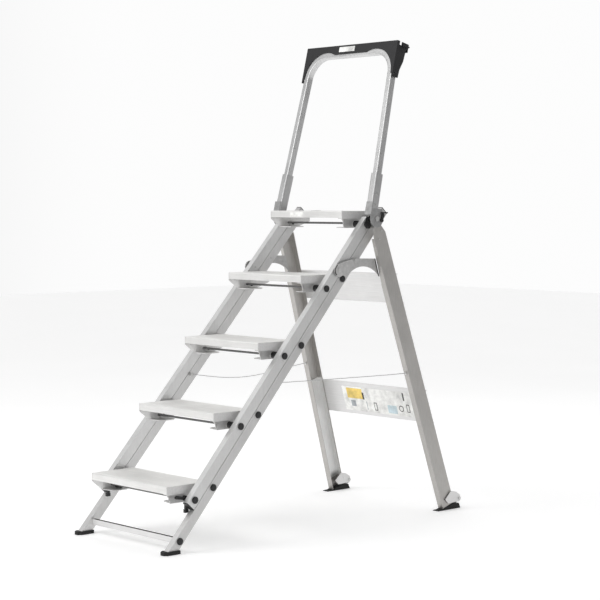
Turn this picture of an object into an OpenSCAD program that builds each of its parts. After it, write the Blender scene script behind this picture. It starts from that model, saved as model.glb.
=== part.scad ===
// Folding five-tread step ladder with a handrail, a tool tray and splayed rear legs.
// Millimetres, +Z up, treads level. The front of the ladder faces -Y and X runs from side to side.
// Each side has two parallel rails joined by the treads, so the treads fold up between the rails.

/* [Steps] */
// Height of one tread above the last
rise = 235; // [230:0.5:240]
// Lean of the rails from the vertical
rail_lean = 42.15; // [42:0.05:42.3]
// Depth of a tread from its front lip to its back edge
tread_depth = 186; // [182:1:190]
// Height of the tread's front lip
lip_h = 26; // [22:1:28]

/* [Rails] */
// Half the width over the rails at 600 mm above the floor
rail_half = 249.4; // [247:0.1:252]
// How far a rail leans inwards for each millimetre of height
rail_toe = 0.0203; // [0.018:0.0001:0.022]
// Thickness of a rail from side to side
rail_t = 24; // [23:0.5:25]
// Width of the front rail's side
front_rail_w = 38; // [37:0.5:39]
// Width of the lower rail's side
lower_rail_w = 35; // [34:0.5:36]
// Wall of the rail extrusion
rail_wall = 2.2; // [1.8:0.1:2.6]

/* [Rear legs] */
// Lean of the rear legs from the vertical
leg_lean = 17.44; // [17:0.02:18]
// Width of a leg's side
leg_w = 64.4; // [62:0.2:66]
// Width of a leg's flanges
leg_flange = 25; // [23:0.5:26]
// Wall of the leg channel
leg_wall = 2.5; // [2:0.1:3]
// How far a leg spreads outwards for each millimetre down
leg_splay = 0.0494; // [0.046:0.0002:0.053]
// Radius of the wheel tyre
tyre_r = 17; // [15:0.5:18]

/* [Handrail] */
// Lean of the handrail from the vertical
hand_lean = 13.95; // [13:0.05:15]
// Side of the handrail tube across the ladder
tube_x = 23.7; // [22:0.1:25]
// Side of the handrail tube from front to back
tube_y = 28; // [26:0.2:29]
// Length of the handrail from the head hinge to the tube's middle line on top
hand_rise = 633; // [620:1:645]
// Bend radius at the tube's middle line
bend_r = 95; // [90:1:100]
// Depth of the tool tray
tray_depth = 62; // [58:1:66]

/* [Hidden] */
$fn = 48;

step_count = 5;
run = rise * tan(rail_lean);
pitch = rise / cos(rail_lean);
rail_toe_deg = atan(rail_toe * cos(rail_lean));

// Pivots in the side view, as [y, z] before the whole ladder is centred
front_1 = [75.4, 175.1];
link = [82.3, 33.9];
function along_rail(p, t) = [p[0] + t * sin(rail_lean), p[1] + t * cos(rail_lean)];
function front_pivot(k) = along_rail(front_1, pitch * (k - 1));
function lower_pivot(k) = front_pivot(k) + link;
function rail_outer(z) = rail_half - rail_toe * (z - 600);
function step_half(k) = rail_outer(front_pivot(k)[1] + 50) - 47.1 + 8;

pin_r = 5;
pin_bore_r = 5.1;
pivot_bore_r = 5.06;
bolt_head_r = 12.5;
bolt_head_t = 5;
bolt_gap = 0.25;
rail_below_front = 27;
rail_above_pivot = 22;

// Front feet and crossbar
foot_top = 12;
foot_front_y = -62;
foot_back_y = 4;
crossbar_at = along_rail(lower_pivot(1), -226);

// Head hinge, where the rear leg and the handrail meet the front rail
head = [948.3, 1136];
head_pin_r = 6;
leg_pivot = [956.4, 1110];
leg_pivot_s = norm(leg_pivot - head);
tongue_r = 17;
leg_top_outer = 322 - leg_splay * head[1];
leg_toe_deg = atan(leg_splay * cos(leg_lean));
leg_length = 1175;
leg_flange_start = 70;
leg_notch = [250, 254.4];

// Wheels
wheel_at = [1358, 37.5];
wheel_x = 306;
wheel_w = 13;

// The ladder is centred over its own footprint
y_mid = (foot_front_y + wheel_at[0] + tyre_r) / 2;

// Spreader plates
spreader_along = 3.28 * pitch;
spreader_front = along_rail(front_1, spreader_along);
spreader_lower = spreader_front + link;
spreader_x = 249.4;
spreader_t = 2.5;
spreader_pin_r = 4;

// Handrail, in its own leaning frame with its zero near the head hinge
hand_base = [938.1, 1160];
hand_x = 254.4;
hand_toe_deg = 2.55;
post_x = 31;
post_y = 37;
post_from = 3;
post_to = 149;
tube_wall = 2;
bend_x = hand_x - tan(hand_toe_deg) * (hand_rise - bend_r) - bend_r / cos(hand_toe_deg);
bend_z = hand_rise - bend_r;
tray_top = hand_rise + 34;
tray_half = 250;
tray_front = -tube_y / 2 - 3;

// Routes of the limit cables on the right side, from the front rail to the rear leg
cable_r = 1.5;
taut_route = [
  [219, 456, 548], [220, 472, 548], [224, 500, 547.5], [234, 590, 546.5],
  [245, 700, 545.5], [256, 810, 545], [267, 925, 544.5], [276, 1020, 544.5], [281, 1093, 545]
];
slack_route = [
  [219, 456, 548], [220, 472, 545.5], [224, 500, 541], [231, 570, 530], [239, 645, 521],
  [247, 725, 516.5], [256, 810, 518], [265, 900, 525], [273, 985, 534], [278, 1045, 540],
  [281, 1093, 545]
];

module placed() translate([0, -y_mid, 0]) children();
module both_sides() { children(); mirror([1, 0, 0]) children(); }
module at(p) translate([0, p[0], p[1]]) children();
module rod_x(x0, x1, r) translate([x0, 0, 0]) rotate([0, 90, 0]) cylinder(h = x1 - x0, r = r);

// A flat shape drawn in side view, as (y, z), and given a thickness from x0 to x1
module side_plate(x0, x1)
  translate([x0, 0, 0]) rotate([90, 0, 90]) linear_extrude(x1 - x0) children();

// A bar with round ends, in the plane
module bar2d(a, b, r) {
  d = b - a;
  translate(a) circle(r);
  translate(b) circle(r);
  translate(a) rotate(atan2(d[1], d[0])) translate([0, -r]) square([norm(d), 2 * r]);
}

// ---- Rails ----

module rail_section(w) {
  groove_pitch = 5;
  grooves = floor((w - 6) / groove_pitch);
  difference() {
    translate([-rail_t, -w / 2]) square([rail_t, w]);
    translate([rail_wall - rail_t, rail_wall - w / 2])
      square([rail_t - 2 * rail_wall, w - 2 * rail_wall]);
    for (i = [0:grooves])
      translate([-0.7, (i - grooves / 2) * groove_pitch - 0.6]) square([1.4, 1.2]);
  }
}

module rail_frame(p)
  translate([rail_outer(p[1]), p[0], p[1]])
    rotate([-rail_lean, 0, 0]) rotate([0, -rail_toe_deg, 0]) children();

module front_rail() color([0.74, 0.75, 0.76]) placed() difference() {
  rail_frame(front_1) translate([0, 0, -rail_below_front])
    linear_extrude((step_count - 1) * pitch + rail_below_front + rail_above_pivot)
      rail_section(front_rail_w);
  for (k = [1:step_count]) at(front_pivot(k)) rod_x(150, 300, pin_bore_r);
  at(spreader_front) rod_x(150, 300, spreader_pin_r + 0.1);
}

module lower_rail() color([0.72, 0.73, 0.74]) placed() difference() {
  rail_frame(lower_pivot(1)) translate([0, 0, -330])
    linear_extrude((step_count - 1) * pitch + 330 + rail_above_pivot)
      rail_section(lower_rail_w);
  for (k = [1:step_count]) at(lower_pivot(k)) rod_x(150, 300, pin_bore_r);
  at(spreader_lower) rod_x(150, 300, spreader_pin_r + 0.1);
  at(leg_pivot) rod_x(150, 300, head_pin_r + 0.1);
  at(crossbar_at) rod_x(150, 300, pin_bore_r);
  translate([150, -400, -300]) cube([200, 600, 300 + foot_top]);
}

module cap_block(w) translate([-rail_t, -w / 2, 0]) cube([rail_t, w, 3]);

module front_rail_caps() color([0.08, 0.08, 0.08]) placed() both_sides() {
  rail_frame(front_1) translate([0, 0, -rail_below_front - 3]) cap_block(front_rail_w);
  rail_frame(front_1) translate([0, 0, (step_count - 1) * pitch + rail_above_pivot])
    cap_block(front_rail_w);
}

module lower_rail_caps() color([0.08, 0.08, 0.08]) placed() both_sides()
  rail_frame(lower_pivot(1)) translate([0, 0, (step_count - 1) * pitch + rail_above_pivot])
    cap_block(lower_rail_w);

// Rubber pad under the cut end of each lower rail, with a pointed toe
module front_feet() color([0.06, 0.06, 0.06]) placed() both_sides() {
  half = 18.5;
  translate([249.5, 0, 0]) linear_extrude(foot_top) union() {
    translate([-half, foot_front_y + 12]) square([2 * half, foot_back_y - foot_front_y - 12]);
    polygon([[-half, foot_front_y + 12], [-9, foot_front_y], [9, foot_front_y],
             [half, foot_front_y + 12]]);
  }
}

module crossbar() color([0.78, 0.79, 0.80]) placed() at(crossbar_at) {
  reach = rail_outer(crossbar_at[1]) - rail_t - 0.4;
  difference() {
    translate([-reach, -5, -10]) cube([2 * reach, 10, 20]);
    translate([-reach - 1, -2.5, -7.5]) cube([2 * reach + 2, 5, 15]);
  }
}

module bolt(p, x_in) at(p) {
  face = rail_outer(p[1]) + bolt_gap;
  rod_x(x_in, face + 1, pin_r);
  rod_x(face, face + bolt_head_t - 1.5, bolt_head_r);
  translate([face + bolt_head_t - 1.5, 0, 0]) rotate([0, 90, 0])
    cylinder(h = 1.5, r1 = bolt_head_r, r2 = bolt_head_r - 2.5);
}

module lower_rail_bolts() color([0.06, 0.06, 0.06]) placed() both_sides() {
  for (k = [1:step_count]) bolt(lower_pivot(k), step_half(k) - 14);
  bolt(crossbar_at, rail_outer(crossbar_at[1]) - rail_t - 0.2);
}

module front_rail_bolts() color([0.06, 0.06, 0.06]) placed() both_sides() {
  bolt(front_pivot(1), 148);
  for (k = [2:step_count]) bolt(front_pivot(k), step_half(k) - 33);
}

module bushing(p, x_in, r) at(p) difference() {
  x_out = rail_outer(p[1]) - rail_t - 0.3;
  rod_x(x_in, x_out, r);
  rod_x(x_in - 1, x_out + 1, pin_bore_r);
}

module front_bushings() color([0.05, 0.05, 0.05]) placed() both_sides()
  for (k = [2:step_count]) bushing(front_pivot(k), step_half(k) - 19.6, 13);

module lower_bushings() color([0.05, 0.05, 0.05]) placed() both_sides()
  for (k = [1:step_count]) bushing(lower_pivot(k), step_half(k) + 2.4, 10);

// ---- Treads ----

tread_front = -90;
tread_back = tread_front + tread_depth;
tread_top = 50;
lip_low = tread_top - lip_h;

module tread(k) color([0.86, 0.86, 0.86]) placed() at(front_pivot(k)) {
  half = step_half(k) - 3.2;
  difference() {
    union() {
      side_plate(-half, half) polygon([
        [tread_front, lip_low], [tread_front, tread_top - 4], [tread_front + 1.2, tread_top - 1.2],
        [tread_front + 4, tread_top], [tread_front + 14, tread_top],
        [tread_front + 15, tread_top - 1.2], [tread_back - 12, tread_top - 1.2],
        [tread_back - 11, tread_top], [tread_back - 3, tread_top], [tread_back, tread_top - 4],
        [tread_back, tread_top - 16], [tread_back - 3, tread_top - 16],
        [tread_back - 3, tread_top - 6], [tread_back - 5, tread_top - 4],
        [tread_front + 6, tread_top - 4], [tread_front + 3, tread_top - 7],
        [tread_front + 3, lip_low + 3], [tread_front + 9, lip_low + 3], [tread_front + 9, lip_low]
      ]);
      for (i = [0:12]) translate([-half, tread_front + 19 + 12 * i, tread_top - 3])
        cube([2 * half, 5, 3]);
      for (y = [-45, -5, 35]) translate([-half, y, tread_top - 16]) cube([2 * half, 2.5, 13]);
    }
    for (i = [0:2]) translate([-half - 1, tread_front - 1, lip_low + 6 + 6 * i])
      cube([2 * half + 2, 1.7, 1.2]);
  }
}

module tread_1() tread(1);
module tread_2() tread(2);
module tread_3() tread(3);
module tread_4() tread(4);
module tread_5() tread(5);

// Pressed bracket at each end of a tread: an end band, a shelf, a dished side and a turned-in foot
dish = 22;
sheet_t = 3;

module bracket(k) {
  h = step_half(k);
  bore_r = k == 1 ? 9.56 : pivot_bore_r;
  difference() {
    union() {
      translate([h - sheet_t, tread_front, lip_low - 4])
        cube([sheet_t, tread_depth, tread_top - 1 - lip_low + 4]);
      translate([h - dish - sheet_t, tread_front + 4, lip_low - 4])
        cube([dish + sheet_t, tread_depth - 4, sheet_t]);
      intersection() {
        translate([0, 0, -14]) linear_extrude(lip_low - 4 + 14 + 1) union() {
          polygon([
            for (i = [0:8]) [h - dish * (1 - cos(22.5 * i)) / 2, tread_front + 4.75 * i],
            for (i = [8:-1:0])
              [h - sheet_t - dish * (1 - cos(22.5 * i)) / 2, tread_front + 4.75 * i]
          ]);
          translate([h - dish - sheet_t, tread_front + 37.9])
            square([sheet_t, tread_depth - 37.9]);
        }
        side_plate(h - 60, h + 10) polygon([
          [tread_front, lip_low], [tread_front, lip_low - 4], [tread_front + 32, -14],
          [30, -14], [tread_back, 8], [tread_back, lip_low]
        ]);
      }
      translate([0, 0, -14]) linear_extrude(sheet_t) polygon([
        [h - dish - 1, tread_front + 34], [h - dish - 50, tread_front + 42],
        [h - dish - 55, tread_front + 52], [h - dish - 55, 10], [h - dish - 40, 28],
        [h - dish - 1, 30]
      ]);
      rod_x(h - dish - 8, h - dish + 2, 13);
      translate([0, link[0], link[1]]) rod_x(h - 12, h + 2, 10);
    }
    rod_x(h - 60, h + 20, bore_r);
    translate([0, link[0], link[1]]) rod_x(h - 30, h + 20, pivot_bore_r);
  }
}

module brackets(k) color([0.70, 0.71, 0.72]) placed() at(front_pivot(k)) both_sides() bracket(k);
module step_brackets_1() brackets(1);
module step_brackets_2() brackets(2);
module step_brackets_3() brackets(3);
module step_brackets_4() brackets(4);
module step_brackets_5() brackets(5);

module tie_rod(k) color([0.22, 0.22, 0.23]) placed() at(front_pivot(k)) {
  reach = step_half(k) - dish - sheet_t;
  translate([0, -20, 3.5]) rod_x(-reach, reach, 4);
}

module tie_rod_1() tie_rod(1);
module tie_rod_2() tie_rod(2);
module tie_rod_3() tie_rod(3);
module tie_rod_4() tie_rod(4);
module tie_rod_5() tie_rod(5);

// Lock lever round the lowest front pivot: a sleeve, a forward arm and a paddle that hangs down
module step_lever() color([0.06, 0.06, 0.06]) placed() at(front_1) difference() {
  union() {
    rod_x(160, 231.5, 9.4);
    translate([0, -54, 10.8]) rod_x(221, 229, 6);
    rotate([-11.3, 0, 0]) translate([221, -55, -5.4]) cube([8, 50, 10.8]);
    translate([220.4, -17, -42]) cube([10, 10, 38]);
    translate([219.8, -20, -46]) cube([11, 15, 12]);
  }
  rod_x(140, 240, pin_bore_r);
}

module step_lever_right() step_lever();
module step_lever_left() mirror([1, 0, 0]) step_lever();

// ---- Rear legs ----

// Zero is on the head hinge's axis, at the leg's outer face; the leg runs down local -Z
module leg_frame()
  translate([leg_top_outer, head[0], head[1]])
    rotate([leg_lean, 0, 0]) rotate([0, -leg_toe_deg, 0]) children();

module channel(w, flange, wall) translate([-flange, -w / 2]) difference() {
  square([flange, w]);
  translate([-1, wall]) square([flange + 1 - wall, w - 2 * wall]);
}

module rear_leg() color([0.56, 0.55, 0.53]) placed() difference() {
  leg_frame() {
    translate([0, 0, -leg_length]) linear_extrude(leg_length - leg_flange_start)
      channel(leg_w, leg_flange, leg_wall);
    translate([-leg_wall, 0, -leg_pivot_s]) rod_x(0, leg_wall, tongue_r);
    side_plate(-leg_wall, 0) polygon([
      [-tongue_r, -leg_pivot_s], [tongue_r, -leg_pivot_s], [leg_w / 2, -leg_flange_start + 8],
      [leg_w / 2, -leg_flange_start - 1], [-leg_w / 2, -leg_flange_start - 1],
      [-leg_w / 2, -leg_flange_start + 8]
    ]);
  }
  at(leg_pivot) rod_x(200, 300, head_pin_r + 0.06);
  translate([200, head[0], head[1]]) rotate([leg_lean, 0, 0])
    translate([0, -leg_w / 2 - 5, -leg_notch[0]]) cube([leg_notch[1] - 200, 20, leg_notch[0]]);
}

module rear_leg_right() rear_leg();
module rear_leg_left() mirror([1, 0, 0]) rear_leg();

// Inner channel that doubles the lower part of each leg
module leg_stiffeners() color([0.80, 0.80, 0.79]) placed() both_sides()
  leg_frame() translate([-leg_wall - 0.05, 0, -leg_length + 40])
    linear_extrude(440) channel(leg_w - 2 * leg_wall - 0.1, 19, 1.8);

// Cross panels riveted behind the legs, each with a stiffening fold along its top and bottom
module panel(z_top, height) placed() {
  back = leg_w / 2 + 0.1;
  t = 1.6;
  s_top = (head[1] - z_top) / cos(leg_lean);
  reach = 322 - leg_splay * z_top - 1;
  translate([0, head[0], head[1]]) rotate([leg_lean, 0, 0]) {
    translate([-reach, back, -s_top - height]) cube([2 * reach, t, height]);
    for (z = [-s_top - t, -s_top - height])
      translate([-reach, back, z]) cube([2 * reach, 9, t]);
  }
}

module upper_panel() color([0.87, 0.87, 0.86]) panel(915, 118);
module lower_panel() color([0.87, 0.87, 0.86]) panel(462, 136);

module leg_rivets() color([0.82, 0.82, 0.82]) placed() both_sides() leg_frame() {
  for (p = [[-14, -27], [-8, -78], [14, -52]])
    translate([0.02, p[0], p[1]]) rod_x(0, 2, 4);
  for (s = [250, 335, 728, 830]) translate([-12, leg_w / 2 + 1.8, -s])
    rotate([-90, 0, 0]) cylinder(h = 1.8, r = 4);
}

// Rubber wedge under each rear leg
module rear_feet() color([0.05, 0.05, 0.05]) placed() both_sides()
  side_plate(294, 325)
    polygon([[1238, 0], [1366, 0], [1357, 19.6], [1345, 20.2], [1337, 26.4], [1262, 2.85],
             [1240, 1.6]]);

// Bracket that holds a wheel behind each leg
module wheel_bracket() difference() {
  union() {
    for (x = [[323.2, 325.7], [290.2, 292.7]]) side_plate(x[0], x[1])
      polygon([[1278, 42], [1312, 72], [1340, 66], [1362, 52], [1368, 36], [1358, 25],
               [1336, 26], [1296, 24]]);
    leg_frame() translate([-31, leg_w / 2 + 0.1, -leg_length + 6]) cube([35.5, 2.5, 34]);
  }
  at(wheel_at) rod_x(280, 335, 4.1);
}

module wheel_brackets() color([0.78, 0.78, 0.77]) placed() both_sides() wheel_bracket();

module wheel_axles() color([0.6, 0.6, 0.6]) placed() both_sides() at(wheel_at) {
  rod_x(288.2, 327.7, 4);
  rod_x(326, 328.2, 7);
  rod_x(287.7, 289.9, 7);
}

module wheel() color([0.72, 0.72, 0.70]) placed() at(wheel_at) difference() {
  union() {
    rod_x(wheel_x - wheel_w / 2, wheel_x + wheel_w / 2, 9);
    rod_x(wheel_x - 3, wheel_x + 3, tyre_r - 4.5);
  }
  rod_x(280, 335, 4.06);
}

module tyre() color([0.05, 0.05, 0.05]) placed() at(wheel_at)
  translate([wheel_x, 0, 0]) rotate([0, 90, 0]) rotate_extrude($fn = 64) {
    half = wheel_w / 2;
    polygon([[tyre_r - 4.5, -half], [tyre_r - 2, -half], [tyre_r, -half + 2], [tyre_r, half - 2],
             [tyre_r - 2, half], [tyre_r - 4.5, half]]);
  }

module wheel_right() wheel();
module wheel_left() mirror([1, 0, 0]) wheel();
module tyre_right() tyre();
module tyre_left() mirror([1, 0, 0]) tyre();

// ---- Spreader plates ----

module spreader_outline() polygon([
  [766, 967], [787, 975.5], [815, 982], [863, 988.5], [961, 986], [982.6, 917],
  [842, 917], [830, 937], [784, 925]
]);

module spreader_plate() color([0.64, 0.65, 0.66]) placed() difference() {
  union() {
    side_plate(spreader_x, spreader_x + spreader_t) spreader_outline();
    at(spreader_front) rod_x(spreader_x, spreader_x + spreader_t, 24);
  }
  at([894.5, 843.7]) rod_x(230, 260, 114);
  at(spreader_front) rod_x(230, 260, spreader_pin_r + 0.06);
  at(spreader_lower) rod_x(230, 260, spreader_pin_r + 0.06);
}

module spreader_plate_right() spreader_plate();
module spreader_plate_left() mirror([1, 0, 0]) spreader_plate();

module spreader_pins(p) color([0.6, 0.6, 0.6]) placed() both_sides() at(p) {
  rod_x(rail_outer(p[1]) - rail_t - 1, spreader_x + spreader_t + 1.8, spreader_pin_r);
  rod_x(rail_outer(p[1]) + 0.3, spreader_x - 0.3, 7);
  rod_x(spreader_x + spreader_t + 0.2, spreader_x + spreader_t + 1.8, 7.5);
}

module spreader_front_pins() spreader_pins(spreader_front);
module spreader_lower_pins() spreader_pins(spreader_lower);

// ---- Head hinge ----

head_x = 239.9;
head_t = 2.6;

module head_brackets() color([0.06, 0.06, 0.06]) placed() both_sides() difference() {
  side_plate(head_x, head_x + head_t) {
    bar2d([932, 1130], head, 12);
    polygon([[924, 1099], [943, 1099], [945.5, 1112], [944, 1128], [922, 1132], [916, 1120]]);
  }
  at(head) rod_x(230, 250, head_pin_r + 0.1);
  at(front_pivot(step_count)) rod_x(230, 250, bolt_head_r + 0.4);
}

module head_pins() color([0.5, 0.5, 0.5]) placed() both_sides() at(head) {
  rod_x(head_x, 275, head_pin_r);
  rod_x(head_x + head_t, 269.9, 8.5);
  rod_x(273.2, 276, 10);
}

// Pin through each lower rail that carries the rear leg, flush with the leg's face
module leg_pivot_pins() color([0.5, 0.5, 0.5]) placed() both_sides() at(leg_pivot) {
  outer = 322 - leg_splay * leg_pivot[1];
  rod_x(rail_outer(leg_pivot[1]) - rail_t - 1, outer, head_pin_r);
  rod_x(rail_outer(leg_pivot[1]) + 2.6, outer - leg_wall - 0.9, 9);
}

// ---- Handrail ----

module hand_frame() placed() at(hand_base) rotate([-hand_lean, 0, 0]) children();
module leg_line() translate([hand_x, 0, 0]) rotate([0, -hand_toe_deg, 0]) children();

module ring2d(x, y, wall, r) difference() {
  round2d(x, y, r);
  round2d(x - 2 * wall, y - 2 * wall, r - wall);
}

module round2d(x, y, r) {
  square([x - 2 * r, y], center = true);
  square([x, y - 2 * r], center = true);
  for (sx = [-1, 1], sy = [-1, 1]) translate([sx * (x / 2 - r), sy * (y / 2 - r)]) circle(r);
}

// The tube is drawn as an outline of the given size, a little slimmer round its bends
module tube_half(inset) {
  straight = (bend_z + bend_r * sin(hand_toe_deg)) / cos(hand_toe_deg);
  x = tube_x - 2 * inset;
  y = tube_y - 2 * inset;
  r = 4 - inset;
  leg_line() translate([0, 0, 12 - inset]) linear_extrude(straight - 10 + inset) round2d(x, y, r);
  translate([bend_x, 0, bend_z]) rotate([90, 0, 0])
    rotate([0, 0, hand_toe_deg]) rotate_extrude(angle = 90 - hand_toe_deg, $fn = 96)
      translate([bend_r, 0]) round2d(x - 0.5, y - 0.5, r);
}

module tube_outline(inset) {
  both_sides() tube_half(inset);
  translate([-bend_x - 2, 0, hand_rise]) rotate([0, 90, 0]) linear_extrude(2 * bend_x + 4)
    round2d(tube_x - 2 * inset, tube_y - 2 * inset, 4 - inset);
}

module handrail_tube() color([0.76, 0.77, 0.78]) hand_frame() difference() {
  tube_outline(0);
  tube_outline(tube_wall);
}

module handrail_posts() color([0.70, 0.71, 0.72]) hand_frame() both_sides()
  leg_line() translate([0, 0, post_from]) linear_extrude(post_to - post_from)
    ring2d(post_x, post_y, 3.4, 5);

module post_rivets() color([0.85, 0.85, 0.85]) hand_frame() both_sides() leg_line()
  for (z = [70, 28]) translate([0, 2, z]) rod_x(post_x / 2 + 0.02, post_x / 2 + 4.6, 4.5);

// Ribbed hinge plate on the outside of each post, with a wall that wraps the post's front
hinge_x = 270.2;
hinge_t = 2.6;

module hinge_brackets() color([0.35, 0.35, 0.36]) both_sides() {
  placed() difference() {
    side_plate(hinge_x, hinge_x + hinge_t) {
      translate(head) circle(33);
      translate(head + [-33, 0]) square([66, 16]);
      polygon([head + [-33, 12], head + [33, 12], head + [27, 36], head + [-26, 40]]);
    }
    at(head) rod_x(250, 290, head_pin_r + 0.06);
    for (i = [-2:2]) at(head + [9 * i - 14, 9 * i - 10]) rotate([35, 0, 0])
      translate([hinge_x + hinge_t - 0.8, 8, -1]) cube([2, 22 - 3 * abs(i), 2]);
  }
  hand_frame() translate([239.5, -post_y / 2 - 2.5, -13]) cube([33.3, 2.3, 50]);
}

// Release lever behind the hinge, with a thumb tab
lever_pivot = head + [24, -6];

module hinge_lever() color([0.05, 0.05, 0.05]) placed() difference() {
  union() {
    side_plate(273.6, 277.2) {
      bar2d(lever_pivot, lever_pivot + [6, 26], 5);
      translate(lever_pivot) circle(7.5);
      translate(lever_pivot + [-4, 26]) square([34, 4.5]);
    }
    translate([266, lever_pivot[0] + 14, lever_pivot[1] + 26]) cube([11.2, 16, 4.5]);
  }
  at(lever_pivot) rod_x(260, 290, 3.06);
}

module hinge_lever_right() hinge_lever();
module hinge_lever_left() mirror([1, 0, 0]) hinge_lever();

// Moulded tool tray that sits on the tube's top and wraps down over both bends
module tray_front_outline() difference() {
  translate([-tray_half, 524]) square([2 * tray_half, tray_top - 524]);
  translate([-bend_x, 500]) square([2 * bend_x, hand_rise - 500 - 2]);
  for (s = [-1, 1]) translate([s * bend_x, bend_z]) circle(bend_r + tube_x / 2 - 3, $fn = 96);
  for (s = [-1, 1]) translate([s * (bend_x + 20) - 90, 480]) square([180, 58]);
}

module tray_end_outline() polygon([
  [tray_front, 524], [16, 528], [18, 560], [30, 596], [34, 640],
  [tray_front + tray_depth, tray_top - 12], [tray_front + tray_depth, tray_top],
  [tray_front, tray_top]
]);

module tool_tray() color([0.07, 0.07, 0.07]) hand_frame() difference() {
  wall = 2.8;
  floor_z = hand_rise + tube_x / 2 + 0.3;
  union() {
    translate([0, tray_front + wall, 0]) rotate([90, 0, 0]) linear_extrude(wall) tray_front_outline();
    both_sides() side_plate(tray_half - wall, tray_half) tray_end_outline();
    translate([-tray_half, tray_front, floor_z]) cube([2 * tray_half, tray_depth, wall]);
    translate([-tray_half, tray_front + tray_depth - wall, floor_z - 10])
      cube([2 * tray_half, wall, tray_top - floor_z + 10]);
    for (x = [-120, 120]) translate([x - 1.2, tray_front, floor_z])
      cube([2.4, tray_depth, tray_top - floor_z - 4]);
    both_sides() translate([tray_half - 1, tray_front + 24, tray_top - 16])
      cube([13, tray_depth - 30, 5]);
  }
  both_sides() {
    for (y = [12, 28]) translate([tray_half - 34, y, floor_z - 5]) cylinder(h = 20, r = 6);
    translate([0, -6, 541]) rod_x(tray_half - 20, tray_half + 5, 4);
    translate([tray_half - 8, -4, tray_top - 14]) cube([20, 12, 20]);
  }
}

// ---- Limit cables ----

// One solid tube swept through the route's points
module swept(route, r, sides = 8) {
  n = len(route);
  function heading(i) = route[min(i + 1, n - 1)] - route[max(i - 1, 0)];
  function ring(i) = let(
    d = heading(i) / norm(heading(i)),
    a = cross(d, [0, 0, 1]) / norm(cross(d, [0, 0, 1])),
    b = cross(a, d)
  ) [for (j = [0:sides - 1]) route[i] + r * (cos(360 * j / sides) * a + sin(360 * j / sides) * b)];
  points = [for (i = [0:n - 1]) each ring(i)];
  sides_faces = [
    for (i = [0:n - 2], j = [0:sides - 1])
      [i * sides + j, i * sides + (j + 1) % sides,
       (i + 1) * sides + (j + 1) % sides, (i + 1) * sides + j]
  ];
  ends = [
    [for (j = [sides - 1:-1:0]) j],
    [for (j = [0:sides - 1]) (n - 1) * sides + j]
  ];
  polyhedron(points, concat(sides_faces, ends), convexity = 4);
}

module limit_cable_right() color([0.7, 0.7, 0.7]) placed() swept(taut_route, cable_r);
module limit_cable_left() color([0.7, 0.7, 0.7]) placed() mirror([1, 0, 0])
  swept(slack_route, cable_r);

module cable_front_clips() color([0.5, 0.5, 0.5]) placed() both_sides()
  translate([0, 452, 548]) difference() {
    rod_x(216, rail_outer(548) - rail_t - 0.1, 7);
    translate([214, 2, -3.6]) cube([6.6, 12, 5.6]);
  }

module cable_rear_clips() color([0.5, 0.5, 0.5]) placed() both_sides()
  leg_frame() translate([-14, -leg_w / 2 - 4.6, -609.4]) rotate([-90, 0, 0])
    cylinder(h = 4.55, r = 6);

mirror([1, 0, 0]) lower_rail();  // lower_rail_left
lower_rail();  // lower_rail_right
mirror([1, 0, 0]) front_rail();  // front_rail_left
front_rail();  // front_rail_right
front_feet();
crossbar();
lower_rail_bolts();
front_rail_bolts();
front_bushings();
lower_bushings();
front_rail_caps();
lower_rail_caps();
tread_1();
tread_2();
tread_3();
tread_4();
tread_5();
step_brackets_1();
step_brackets_2();
step_brackets_3();
step_brackets_4();
step_brackets_5();
tie_rod_1();
tie_rod_2();
tie_rod_3();
tie_rod_4();
tie_rod_5();
rear_leg_left();
rear_leg_right();
leg_pivot_pins();
upper_panel();
lower_panel();
leg_rivets();
leg_stiffeners();
rear_feet();
wheel_brackets();
wheel_axles();
wheel_left();
wheel_right();
tyre_left();
tyre_right();
spreader_plate_left();
spreader_plate_right();
spreader_front_pins();
spreader_lower_pins();
head_brackets();
head_pins();
hinge_brackets();
handrail_posts();
handrail_tube();
post_rivets();
tool_tray();
hinge_lever_left();
hinge_lever_right();
step_lever_left();
step_lever_right();
limit_cable_left();
limit_cable_right();
cable_front_clips();
cable_rear_clips();
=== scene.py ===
import math

import bmesh
import bpy
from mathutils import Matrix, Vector


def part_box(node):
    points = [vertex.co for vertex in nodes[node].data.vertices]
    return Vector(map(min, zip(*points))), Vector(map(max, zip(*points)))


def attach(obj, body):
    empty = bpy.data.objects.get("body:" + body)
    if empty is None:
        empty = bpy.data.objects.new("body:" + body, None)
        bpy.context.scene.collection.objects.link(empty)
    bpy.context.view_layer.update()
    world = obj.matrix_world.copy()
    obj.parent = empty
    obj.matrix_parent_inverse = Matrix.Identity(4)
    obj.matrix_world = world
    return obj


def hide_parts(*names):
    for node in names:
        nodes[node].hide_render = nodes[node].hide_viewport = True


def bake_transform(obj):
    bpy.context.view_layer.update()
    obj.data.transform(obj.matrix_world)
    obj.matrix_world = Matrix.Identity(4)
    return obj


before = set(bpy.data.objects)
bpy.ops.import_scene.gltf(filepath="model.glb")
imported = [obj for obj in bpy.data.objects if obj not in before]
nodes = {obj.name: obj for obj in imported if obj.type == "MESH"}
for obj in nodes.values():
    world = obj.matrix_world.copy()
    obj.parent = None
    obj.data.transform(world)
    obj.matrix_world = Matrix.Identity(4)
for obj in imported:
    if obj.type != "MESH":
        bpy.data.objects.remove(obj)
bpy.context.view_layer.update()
scene = bpy.context.scene

MM = 0.001
SIDES = (("left", -1), ("right", 1))

# Leans from the vertical, as in part.scad
RAIL_LEAN = math.radians(42.15)
LEG_LEAN = math.radians(17.44)
HAND_LEAN = math.radians(13.95)

# Side-view positions in mm, as (y, z), before the ladder is centred
FRONT_PIVOT = (75.4, 175.1)
LINK = (82.3, 33.9)
HEAD = (948.3, 1136)
HAND_BASE = (938.1, 1160)
RISE = 235.0
STEPS = 5


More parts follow.
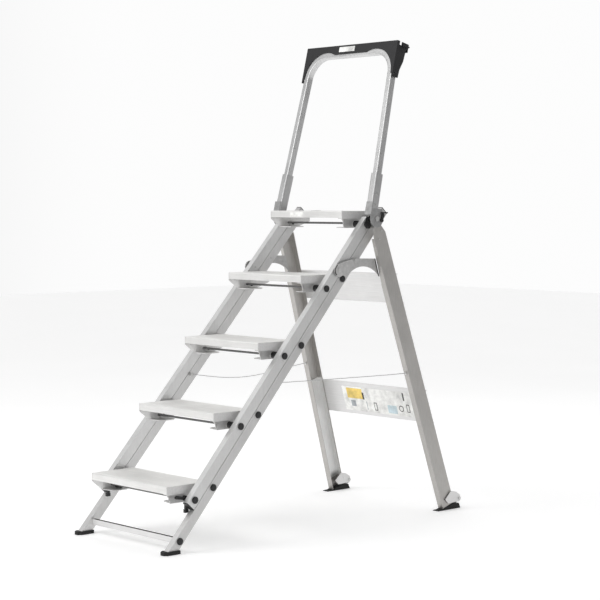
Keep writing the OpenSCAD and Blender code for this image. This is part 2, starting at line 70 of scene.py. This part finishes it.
# The row frame is centred on the footprint; Y_SHIFT takes side-view sizes in mm to it.
Y_SHIFT = -656.5


def at(x, y, z):
    return Vector((x * MM, (y + Y_SHIFT) * MM, z * MM))


# ---- Camera ----

cam_data = bpy.data.cameras.new("camera")
cam_data.lens = 101.75
cam_data.sensor_width = 36
cam_data.clip_end = 50
camera = bpy.data.objects.new("camera", cam_data)
camera.location = at(4740.2, -3591.0, 1194.3)
camera.rotation_euler = (math.radians(86.73), 0, math.radians(47.14))
scene.collection.objects.link(camera)
scene.camera = camera


# ---- Materials ----


class Mat:
    """A node material with a principled shader and small helpers."""

    def __init__(self, name):
        self.mat = bpy.data.materials.new(name)
        self.mat.use_nodes = True
        self.tree = self.mat.node_tree
        self.bsdf = self.tree.nodes["Principled BSDF"]
        self.coord = self.tree.nodes.new("ShaderNodeTexCoord").outputs["Object"]

    def set(self, **values):
        for key, value in values.items():
            self.bsdf.inputs[key.replace("_", " ")].default_value = value
        return self

    def link(self, a, b):
        self.tree.links.new(a, b)
        return self

    def mapped(self, scale=(1, 1, 1), rotation=(0, 0, 0)):
        node = self.tree.nodes.new("ShaderNodeMapping")
        node.inputs["Scale"].default_value = scale
        node.inputs["Rotation"].default_value = rotation
        self.link(self.coord, node.inputs["Vector"])
        return node.outputs["Vector"]

    def noise(self, scale, detail=4, rough=0.55, vector=None):
        node = self.tree.nodes.new("ShaderNodeTexNoise")
        node.inputs["Scale"].default_value = scale
        node.inputs["Detail"].default_value = detail
        node.inputs["Roughness"].default_value = rough
        self.link(vector or self.coord, node.inputs["Vector"])
        return node.outputs["Fac"]

    def wave(self, scale, vector, distortion=0.0):
        node = self.tree.nodes.new("ShaderNodeTexWave")
        node.inputs["Scale"].default_value = scale
        node.inputs["Distortion"].default_value = distortion
        self.link(vector, node.inputs["Vector"])
        return node.outputs["Fac"]

    def ramp(self, fac, stops):
        node = self.tree.nodes.new("ShaderNodeValToRGB")
        ramp = node.color_ramp
        while len(ramp.elements) < len(stops):
            ramp.elements.new(0.5)
        for element, (pos, value) in zip(ramp.elements, stops):
            element.position = pos
            colour = value if isinstance(value, tuple) else (value, value, value)
            element.color = (*colour, 1)
        self.link(fac, node.inputs["Fac"])
        return node.outputs["Color"]

    def mix(self, fac, a, b, mode="MIX"):
        node = self.tree.nodes.new("ShaderNodeMix")
        node.data_type = "RGBA"
        node.blend_type = mode
        if isinstance(fac, (int, float)):
            node.inputs["Factor"].default_value = fac
        else:
            self.link(fac, node.inputs["Factor"])
        for socket, value in ((node.inputs[6], a), (node.inputs[7], b)):
            if isinstance(value, tuple):
                socket.default_value = (*value, 1)
            else:
                self.link(value, socket)
        return node.outputs[2]

    def math(self, op, a, b):
        node = self.tree.nodes.new("ShaderNodeMath")
        node.operation = op
        for socket, value in zip(node.inputs, (a, b)):
            if isinstance(value, (int, float)):
                socket.default_value = value
            else:
                self.link(value, socket)
        return node.outputs[0]

    def bump(self, height, strength=0.3, distance=0.0005):
        node = self.tree.nodes.new("ShaderNodeBump")
        node.inputs["Strength"].default_value = strength
        node.inputs["Distance"].default_value = distance
        self.link(height, node.inputs["Height"])
        self.link(node.outputs["Normal"], self.bsdf.inputs["Normal"])
        return self

    def colour(self, socket):
        return self.link(socket, self.bsdf.inputs["Base Color"])

    def roughness(self, socket):
        return self.link(socket, self.bsdf.inputs["Roughness"])


def scaled(colour, k):
    return tuple(c * k for c in colour)


def aluminium(name, colour, rough, grain, rotation=(0, 0, 0), metallic=0.75, streak=0.10):
    """Drawn or brushed aluminium: fine lines along the grain, cloudy oxide and small scuffs."""
    m = Mat(name).set(Metallic=metallic)
    lines = m.noise(1, 6, 0.65, m.mapped(grain, rotation))
    clouds = m.noise(9, 5, 0.6)
    specks = m.noise(420, 3, 0.5)
    dark, light = scaled(colour, 1 - streak), scaled(colour, 1 + streak * 0.4)
    base = m.ramp(lines, [(0.3, dark), (0.7, light)])
    base = m.mix(0.5, base, m.ramp(clouds, [(0.3, 0.80), (0.7, 1.0)]), "MULTIPLY")
    base = m.mix(m.ramp(specks, [(0.68, 0.0), (0.74, 0.35)]), base, scaled(colour, 0.72))
    m.colour(base)
    m.roughness(m.ramp(m.mix(0.5, lines, clouds), [(0.3, rough - 0.07), (0.7, rough + 0.10)]))
    m.bump(m.mix(0.3, lines, specks), 0.22, 0.0003)
    return m.mat


def moulded(name, colour, rough, grain=900, strength=0.25):
    """Moulded plastic or rubber with a fine spark-eroded grain and slight wear."""
    m = Mat(name)
    fine = m.noise(grain, 3, 0.6)
    broad = m.noise(25, 4, 0.6)
    m.colour(m.ramp(broad, [(0.3, scaled(colour, 0.75)), (0.75, scaled(colour, 1.5))]))
    m.roughness(m.ramp(m.mix(0.4, fine, broad), [(0.3, rough - 0.08), (0.7, rough + 0.12)]))
    m.bump(fine, strength, 0.0003)
    return m.mat


ALONG_RAIL = (RAIL_LEAN, 0, 0)
ALONG_LEG = (-LEG_LEAN, 0, 0)
ALONG_HAND = (HAND_LEAN, 0, 0)
FINE = (700, 700, 9)
rail_mat = aluminium("rail_drawn", (0.74, 0.735, 0.73), 0.36, FINE, ALONG_RAIL)
front_rail_mat = aluminium("front_rail_drawn", (0.80, 0.80, 0.795), 0.36, FINE, ALONG_RAIL)
leg_mat = aluminium("leg_drawn", (0.55, 0.535, 0.515), 0.38, FINE, ALONG_LEG, 0.8, 0.16)
liner_mat = aluminium("liner_drawn", (0.84, 0.84, 0.83), 0.4, FINE, ALONG_LEG)
panel_mat = aluminium("panel_sheet", (0.86, 0.855, 0.85), 0.42, (9, 600, 600), (0, 0, 0), 0.45)
tube_mat = aluminium("tube_drawn", (0.70, 0.70, 0.70), 0.30, FINE, ALONG_HAND)
post_mat = aluminium("post_drawn", (0.58, 0.58, 0.58), 0.36, FINE, ALONG_HAND)
tread_mat = aluminium("tread_extruded", (0.92, 0.915, 0.90), 0.40, (9, 700, 700), (0, 0, 0), 0.5)
bracket_mat = aluminium("bracket_cast", (0.78, 0.775, 0.77), 0.48, (160, 160, 160), (0, 0, 0), 0.6)
plate_mat = aluminium("plate_zinc", (0.60, 0.595, 0.59), 0.42, (60, 60, 60), (0, 0, 0), 0.75, 0.2)
hinge_mat = aluminium("hinge_zinc", (0.42, 0.42, 0.42), 0.42, (70, 70, 70), (0, 0, 0), 0.8, 0.25)
pin_mat = aluminium("pin_zinc", (0.66, 0.66, 0.65), 0.32, (300, 300, 300), (0, 0, 0), 0.9)
rod_mat = aluminium("rod_dark", (0.20, 0.20, 0.20), 0.45, (9, 500, 500), (0, 0, 0), 0.6, 0.2)
black_plastic = moulded("black_plastic", (0.010, 0.010, 0.011), 0.42)
tray_plastic = moulded("tray_plastic", (0.009, 0.009, 0.010), 0.50, 1100, 0.4)
black_rubber = moulded("black_rubber", (0.009, 0.009, 0.009), 0.72, 600, 0.5)
hub_plastic = moulded("hub_plastic", (0.62, 0.62, 0.60), 0.5)
sticker_white = moulded("sticker_white", (0.80, 0.80, 0.78), 0.38, 500, 0.06)
sticker_black = moulded("sticker_black", (0.03, 0.03, 0.03), 0.38, 500, 0.06)
sticker_grey = moulded("sticker_grey", (0.34, 0.36, 0.38), 0.38, 500, 0.06)
sticker_blue = moulded("sticker_blue", (0.50, 0.60, 0.64), 0.38, 500, 0.06)
sticker_yellow = moulded("sticker_yellow", (0.78, 0.58, 0.16), 0.38, 500, 0.06)


def cable_material():
    """Stranded wire seen through a thin clear sleeve: fine helical bands."""
    m = Mat("cable_wire").set(Metallic=0.6)
    strands = m.wave(420, m.mapped((1, 1, 1), (0.6, 0.5, 0.7)), 0.6)
    m.colour(m.ramp(strands, [(0.1, 0.42), (0.8, 0.70)]))
    m.roughness(m.ramp(strands, [(0.1, 0.5), (0.8, 0.35)]))
    m.bump(strands, 0.5, 0.0004)
    return m.mat


cable_mat = cable_material()

SLOT_MATERIALS = {
    "lower_rail": rail_mat,
    "front_rail_left": front_rail_mat,
    "front_rail_right": front_rail_mat,
    "crossbar": panel_mat,
    "rear_leg": leg_mat,
    "leg_stiffeners": liner_mat,
    "upper_panel": panel_mat,
    "lower_panel": panel_mat,
    "handrail_tube": tube_mat,
    "handrail_posts": post_mat,
    "tread": tread_mat,
    "step_brackets": bracket_mat,
    "spreader_plate": plate_mat,
    "hinge_brackets": hinge_mat,
    "wheel_brackets": panel_mat,
    "tie_rod": rod_mat,
    "tool_tray": tray_plastic,
    "front_feet": black_rubber,
    "rear_feet": black_rubber,
    "tyre": black_rubber,
    "wheel_left": hub_plastic,
    "wheel_right": hub_plastic,
    "lower_rail_bolts": black_plastic,
    "lower_rail_caps": black_plastic,
    "front_rail_bolts": black_plastic,
    "front_rail_caps": black_plastic,
    "front_bushings": black_plastic,
    "lower_bushings": black_plastic,
    "head_brackets": black_plastic,
    "hinge_lever": black_plastic,
    "step_lever": black_plastic,
}


def material_for(name):
    best = max((k for k in SLOT_MATERIALS if name.startswith(k)), key=len, default=None)
    return SLOT_MATERIALS[best] if best else pin_mat


for name, obj in nodes.items():
    obj.data.materials.clear()
    obj.data.materials.append(material_for(name))
    for poly in obj.data.polygons:
        poly.use_smooth = False


# ---- Geometry helpers ----


def new_object(name, bm, material, smooth=False):
    mesh = bpy.data.meshes.new(name)
    bmesh.ops.recalc_face_normals(bm, faces=bm.faces)
    bm.to_mesh(mesh)
    bm.free()
    for poly in mesh.polygons:
        poly.use_smooth = smooth
    mesh.materials.append(material)
    obj = bpy.data.objects.new(name, mesh)
    scene.collection.objects.link(obj)
    return obj


def on_body(obj, body):
    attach(obj, body)
    return obj


def rounded(w, h, r, steps=4):
    """A rectangle with round corners, centred on the origin."""
    points = []
    for cx, cy, start in ((w / 2 - r, h / 2 - r, 0), (r - w / 2, h / 2 - r, 90),
                          (r - w / 2, r - h / 2, 180), (w / 2 - r, r - h / 2, 270)):
        for i in range(steps + 1):
            a = math.radians(start + 90 * i / steps)
            points.append((cx + r * math.cos(a), cy + r * math.sin(a)))
    return points


# ---- Stage and light ----

world = bpy.data.worlds.new("studio")
world.use_nodes = True
world_tree = world.node_tree
world_nodes = world_tree.nodes
background = world_nodes["Background"]
background.inputs["Strength"].default_value = 0.98


def world_lobe(direction, low, high):
    """0 to 1 as the sky direction turns towards the given one."""
    dot = world_nodes.new("ShaderNodeVectorMath")
    dot.operation = "DOT_PRODUCT"
    world_tree.links.new(sky_coord.outputs["Generated"], dot.inputs[0])
    dot.inputs[1].default_value = Vector(direction).normalized()
    spread = world_nodes.new("ShaderNodeMapRange")
    spread.interpolation_type = "SMOOTHSTEP"
    spread.inputs["From Min"].default_value = low
    spread.inputs["From Max"].default_value = high
    world_tree.links.new(dot.outputs["Value"], spread.inputs["Value"])
    return spread.outputs["Result"]


def world_mix(fac, a, b):
    node = world_nodes.new("ShaderNodeMix")
    node.data_type = "RGBA"
    world_tree.links.new(fac, node.inputs["Factor"])
    for socket, value in ((node.inputs[6], a), (node.inputs[7], b)):
        if isinstance(value, tuple):
            socket.default_value = (*value, 1)
        else:
            world_tree.links.new(value, socket)
    return node.outputs[2]


# White sky all round, with a grey wall to the right and a soft one behind for the metal to mirror.
sky_coord = world_nodes.new("ShaderNodeTexCoord")
sky = world_mix(world_lobe((1, 0.15, 0.0), 0.30, 0.85), (1, 1, 1), (0.20, 0.20, 0.20))
sky = world_mix(world_lobe((-1, -0.35, 0.0), 0.55, 0.95), sky, (0.34, 0.34, 0.34))
world_tree.links.new(sky, background.inputs["Color"])
scene.world = world
scene.view_settings.view_transform = "Standard"


def area_light(name, location, target, size, power):
    data = bpy.data.lights.new(name, "AREA")
    data.size = size
    data.energy = power
    obj = bpy.data.objects.new(name, data)
    obj.location = location
    obj.rotation_euler = (Vector(target) - Vector(location)).to_track_quat("-Z", "Y").to_euler()
    scene.collection.objects.link(obj)


area_light("key", (-1.6, -3.4, 3.4), (0, 0, 0.8), 2.2, 46)
area_light("fill", (3.4, -2.6, 2.6), (0, 0, 0.8), 1.6, 7)
area_light("rim", (-0.8, 3.2, 3.0), (0, 0, 0.9), 2.0, 14)

bm = bmesh.new()
bmesh.ops.create_grid(bm, x_segments=2, y_segments=2, size=14)
floor_mat = Mat("floor_pale")
floor_mat.colour(floor_mat.ramp(floor_mat.noise(1.5, 2), [(0.3, 0.93), (0.7, 0.95)]))
floor_mat.set(Roughness=0.9, Emission_Strength=0.16)
floor_mat.bsdf.inputs["Emission Color"].default_value = (1, 1, 1, 1)
floor = new_object("floor", bm, floor_mat.mat)
floor.location.z = -0.0005

# ---- Details on the spreader, panels, treads and tray ----


def strip(name, body, material, corners, thickness, normal):
    """A thin patch with the given corners, standing off along normal (all in metres)."""
    bm = bmesh.new()
    n = Vector(normal).normalized()
    low = [bm.verts.new(c) for c in corners]
    high = [bm.verts.new(c + n * thickness) for c in corners]
    bm.faces.new(low)
    bm.faces.new(list(reversed(high)))
    for i in range(len(corners)):
        j = (i + 1) % len(corners)
        bm.faces.new((low[i], high[i], high[j], low[j]))
    return on_body(new_object(name, bm, material), body)


def patch(name, body, material, origin, u_dir, v_dir, w, h, r, thickness=0.0003):
    """A round-cornered sticker, centred on origin, w along u_dir and h along v_dir."""
    u, v = Vector(u_dir).normalized(), Vector(v_dir).normalized()
    corners = [origin + u * (a * MM) + v * (b * MM) for a, b in rounded(w, h, r)]
    return strip(name, body, material, corners, thickness, u.cross(v))


# Painted shadow: a thin black strip on the spreader plate's outer face, along its rear edge,
# standing in for the shadow gap between plate and rear leg
SPREADER_OUT = 251.95
for side, sx in SIDES:
    edge = [(955.8, 985.6), (960.6, 985.6), (981.8, 917.6), (976.6, 920.4)]
    strip(f"spreader_rear_shadow_{side}", "spreader", black_rubber,
          [at(sx * SPREADER_OUT, y, z) for y, z in edge], 0.9 * MM, (sx, 0, 0))
    # Painted shadow: a thin black arc along the front side of the plate's rounded front end,
    # standing in for the shade line at that edge
    arc = []
    for r in (24.0, 20.2):
        span = [math.radians(a) for a in range(118, 236, 10)]
        ring = [(773.2 + r * math.cos(a), 946.1 + r * math.sin(a)) for a in span]
        arc += ring if r == 24.0 else list(reversed(ring))
    strip(f"spreader_nose_shadow_{side}", "spreader", black_rubber,
          [at(sx * SPREADER_OUT, y, z) for y, z in arc], 0.7 * MM, (sx, 0, 0))

# Blank and coloured patches on the lower panel's front, in the panel's own leaning plane
panel_up = Vector((0, -math.sin(LEG_LEAN), math.cos(LEG_LEAN)))
panel_out = Vector((0, -math.cos(LEG_LEAN), -math.sin(LEG_LEAN)))


PANEL_FRONT = 32.28


def on_panel(x, s):
    """A point on the cross panels' front: x in mm, s mm down the legs from the head hinge."""
    y = HEAD[0] + PANEL_FRONT * math.cos(LEG_LEAN) + s * math.sin(LEG_LEAN)
    z = HEAD[1] + PANEL_FRONT * math.sin(LEG_LEAN) - s * math.cos(LEG_LEAN)
    return at(x, y, z)


# Each patch: name, material, x, distance down the legs, width, height and corner radius in mm
PATCHES = (
    ("base", sticker_white, 18, 776, 380, 104, 4),
    ("yellow", sticker_yellow, -104, 752, 88, 44, 3),
    ("black_tag", sticker_black, -58, 760, 10, 30, 1.5),
    ("grey_block", sticker_grey, -120, 796, 26, 26, 2),
    ("frame_a", sticker_black, 4, 800, 17, 34, 1.5),
    ("frame_a_inner", sticker_white, 4, 800, 11, 27, 1),
    ("blue_block", sticker_blue, 96, 804, 50, 34, 3),
    ("bar_small", sticker_grey, -44, 800, 3, 36, 1),
    ("disc", sticker_black, 146, 796, 26, 26, 12.9),
    ("disc_inner", sticker_white, 146, 796, 19, 19, 9.4),
    ("frame_b", sticker_black, 184, 792, 16, 34, 1.5),
    ("frame_b_inner", sticker_white, 184, 792, 10, 27, 1),
    ("tag_top", sticker_black, 168, 744, 7, 34, 1),
)
for name, material, x, s, w, h, r in PATCHES:
    layer = 1 if name == "base" else 3 if "inner" in name else 2
    lift = panel_out * ((0.05 + 0.32 * layer) * MM)
    patch(f"panel_{name}", "rear_legs", material,
          on_panel(x, s) + lift - panel_out * 0.3 * MM, (1, 0, 0), panel_up, w, h, r)

# Three rows of short grey dashes, of uneven length, in place of small print
DASH_COLUMNS, DASH_H = 24, 1.6
bm = bmesh.new()
for row in range(3):
    for column in range(5, DASH_COLUMNS):
        width = 6 + 2.5 * math.sin((DASH_COLUMNS * row + column) * 2.3)
        base = on_panel(-96 + 10 * column, 734 + 9 * row) + panel_out * 0.36 * MM
        quad = [base + Vector((dx * MM, 0, 0)) + panel_up * dz * MM
                for dx, dz in ((0, 0), (width, 0), (width, DASH_H), (0, DASH_H))]
        bm.faces.new([bm.verts.new(q) for q in quad])
on_body(new_object("panel_grey_lines", bm, sticker_grey), "rear_legs")

# Blank label on the tray's front, one on the platform's lip and a dark oval on the platform
hand_up = Vector((0, math.sin(HAND_LEAN), math.cos(HAND_LEAN)))
hand_back = Vector((0, math.cos(HAND_LEAN), -math.sin(HAND_LEAN)))


def on_hand(x, y, z):
    """A point in the handrail's leaning frame, in mm."""
    return at(0, *HAND_BASE) + Vector((x * MM, 0, 0)) + hand_back * (y * MM) + hand_up * (z * MM)


patch("tray_label", "handrail", sticker_white,
      on_hand(-22, -17.05, 650), (1, 0, 0), hand_up, 86, 20, 1.5, 0.00035)
top_lo, top_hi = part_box("tread_5")
lip = Vector((-0.05, top_lo.y - 0.00005, (top_lo.z + top_hi.z) / 2 - 0.001))
patch("platform_label", "step_5", sticker_white,
      lip, (1, 0, 0), (0, 0, 1), 74, 17, 1.5, 0.0003)
oval = [Vector((-0.085 + 0.024 * math.cos(a), top_hi.y - 0.05 + 0.012 * math.sin(a),
                top_hi.z + 0.0002))
        for a in (2 * math.pi * i / 32 for i in range(32))]
strip("platform_oval", "step_5", sticker_black, oval, 0.0004, (0, 0, 1))

# Painted shadow: a black strip along the top of the crossbar, standing in for the dark gap line
# there, with a light edge left in front
bar_lo, bar_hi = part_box("crossbar")
shadow_y = (bar_lo.y + 0.0015, bar_hi.y - 0.0005)
strip("crossbar_top_shadow", "lower_frame", black_rubber,
      [Vector((x, y, bar_hi.z)) for x, y in ((bar_lo.x + 0.004, shadow_y[0]),
                                             (bar_hi.x - 0.004, shadow_y[0]),
                                             (bar_hi.x - 0.004, shadow_y[1]),
                                             (bar_lo.x + 0.004, shadow_y[1]))], 0.0012, (0, 0, 1))


def bolt_face(name, body, centre, sx):
    """A raised hexagon with a dished socket on a bolt's head."""
    bm = bmesh.new()
    loops = []
    for r, out in ((7.4, 0.0), (7.0, 0.6), (4.2, 0.6), (3.6, 0.15)):
        loops.append([bm.verts.new(centre + Vector((
            sx * out * MM,
            r * MM * math.cos(math.radians(60 * i + 15)),
            r * MM * math.sin(math.radians(60 * i + 15))))) for i in range(6)])
    for a, b in zip(loops, loops[1:]):
        for i in range(6):
            bm.faces.new((a[i], a[(i + 1) % 6], b[(i + 1) % 6], b[i]))
    bm.faces.new(loops[-1])
    bm.faces.new(list(reversed(loops[0])))
    return on_body(new_object(name, bm, black_plastic), body)


# Half the width over the rails at 600 mm up, their inward lean per mm, and a bolt head's height
RAIL_HALF, RAIL_TOE, HEAD_OUT = 249.4, 0.0203, 5.2
for side, sx in SIDES:
    for k in range(1, STEPS + 1):
        y = FRONT_PIVOT[0] + RISE * math.tan(RAIL_LEAN) * (k - 1)
        z = FRONT_PIVOT[1] + RISE * (k - 1)
        for kind, body, (dy, dz) in (("front", "front_frame", (0, 0)),
                                     ("lower", "lower_frame", LINK)):
            outer = RAIL_HALF - RAIL_TOE * (z + dz - 600) + HEAD_OUT
            bolt_face(f"bolt_face_{kind}_{k}_{side}", body, at(sx * outer, y + dy, z + dz), sx)

# ---- Limit cables ----

CABLE_D = 3.0
TAUT = [
    (219, 456, 548), (220, 472, 548), (224, 500, 547.5), (234, 590, 546.5), (245, 700, 545.5),
    (256, 810, 545), (267, 925, 544.5), (276, 1020, 544.5), (281, 1093, 545),
]
SLACK = [
    (219, 456, 548), (220, 472, 545.5), (224, 500, 541), (231, 570, 530), (239, 645, 521),
    (247, 725, 516.5), (256, 810, 518), (265, 900, 525), (273, 985, 534), (278, 1045, 540),
    (281, 1093, 545),
]


def smooth_route(points, per=6):
    """Catmull-Rom through the points."""
    pts = [Vector(p) for p in points]
    out = []
    for i in range(len(pts) - 1):
        a = pts[max(i - 1, 0)]
        b, c = pts[i], pts[i + 1]
        d = pts[min(i + 2, len(pts) - 1)]
        for j in range(per):
            t = j / per
            out.append(0.5 * ((2 * b) + (c - a) * t + (2 * a - 5 * b + 4 * c - d) * t * t
                              + (3 * b - a - 3 * c + d) * t ** 3))
    out.append(pts[-1])
    return out


def tube_mesh(name, path, radius, material, sides=12):
    bm = bmesh.new()
    rings = []
    for i, p in enumerate(path):
        d = (path[min(i + 1, len(path) - 1)] - path[max(i - 1, 0)]).normalized()
        a = d.cross(Vector((0, 0, 1))).normalized()
        b = a.cross(d)
        rings.append([bm.verts.new(p + radius * (math.cos(2 * math.pi * j / sides) * a
                                                 + math.sin(2 * math.pi * j / sides) * b))
                      for j in range(sides)])
    for r0, r1 in zip(rings, rings[1:]):
        for j in range(sides):
            bm.faces.new((r0[j], r0[(j + 1) % sides], r1[(j + 1) % sides], r1[j]))
    bm.faces.new(list(reversed(rings[0])))
    bm.faces.new(rings[-1])
    return new_object(name, bm, material, smooth=True)


for side, sx in SIDES:
    route = TAUT if side == "right" else SLACK
    path = [at(sx * p.x, p.y, p.z) for p in smooth_route(route)]
    cable = tube_mesh(f"cable_{side}", path, CABLE_D / 2 * MM, cable_mat)
    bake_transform(cable)
    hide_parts(f"limit_cable_{side}")
